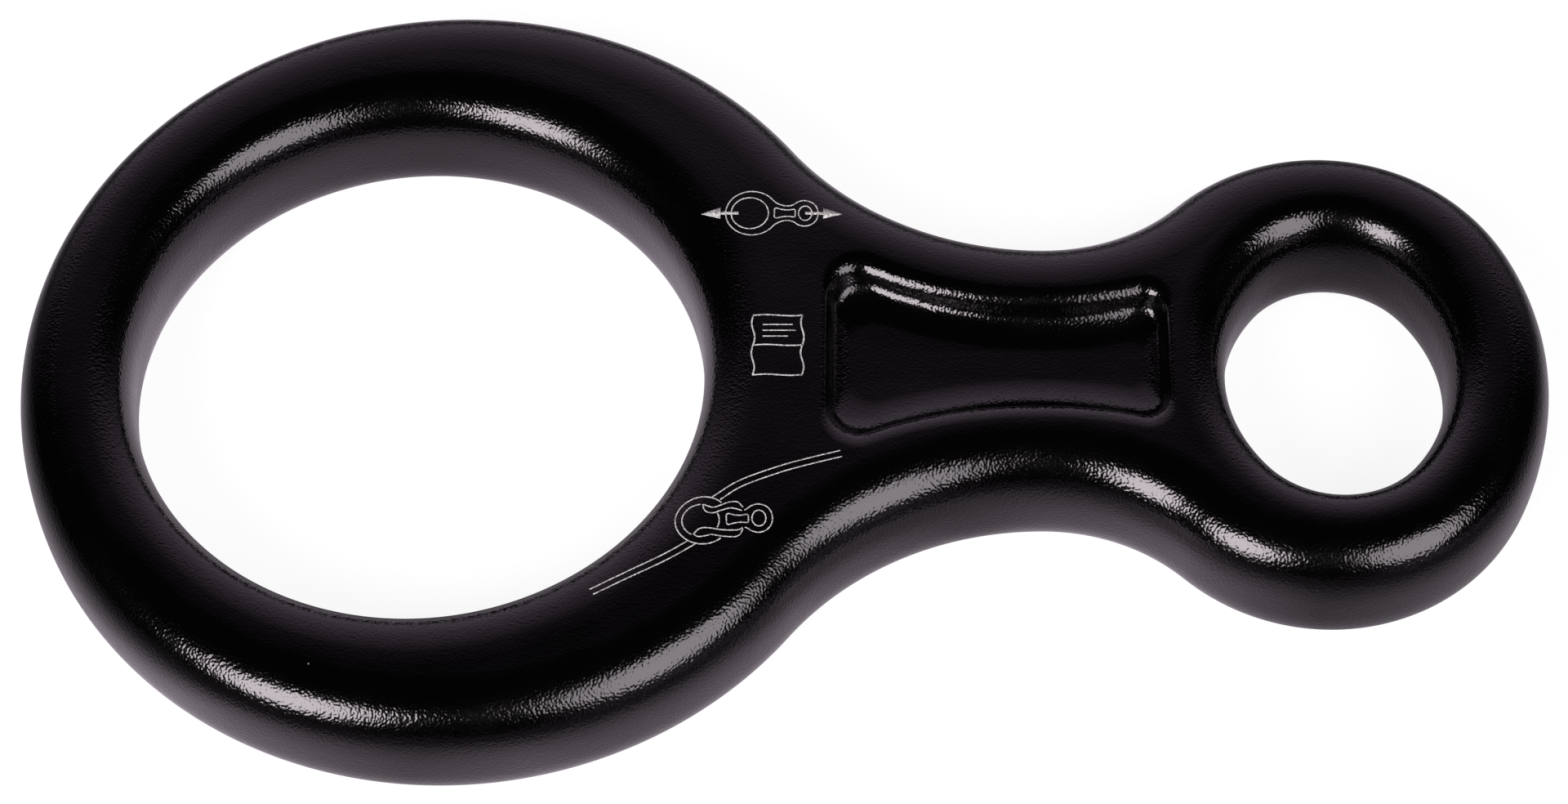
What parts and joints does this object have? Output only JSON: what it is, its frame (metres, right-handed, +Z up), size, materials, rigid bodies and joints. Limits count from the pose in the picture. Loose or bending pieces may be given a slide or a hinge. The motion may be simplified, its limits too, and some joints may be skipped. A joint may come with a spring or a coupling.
{
  "type": "figure eight descender",
  "caption": "Flat forged figure eight descender for rappelling, with a large round rope ring, a waisted neck with a shallow recess, and a small ring with an oval connector eye.",
  "frame": {"origin": "middle of the underside: Z = 0 is the plane that the descender lies on, and the origin is under the middle of its length and width", "axes": "+X along the length towards the small ring, +Y across, +Z up out of the flat top face"},
  "size_m": [0.134, 0.076, 0.0128],
  "materials": {
    "black_anodising": "satin black anodised, fine shot-blasted grain",
    "laser_marking": "matt light grey laser marking"
  },
  "bodies": {
    "root": {"descender_body": "black_anodising"}
  },
  "joints": []
}
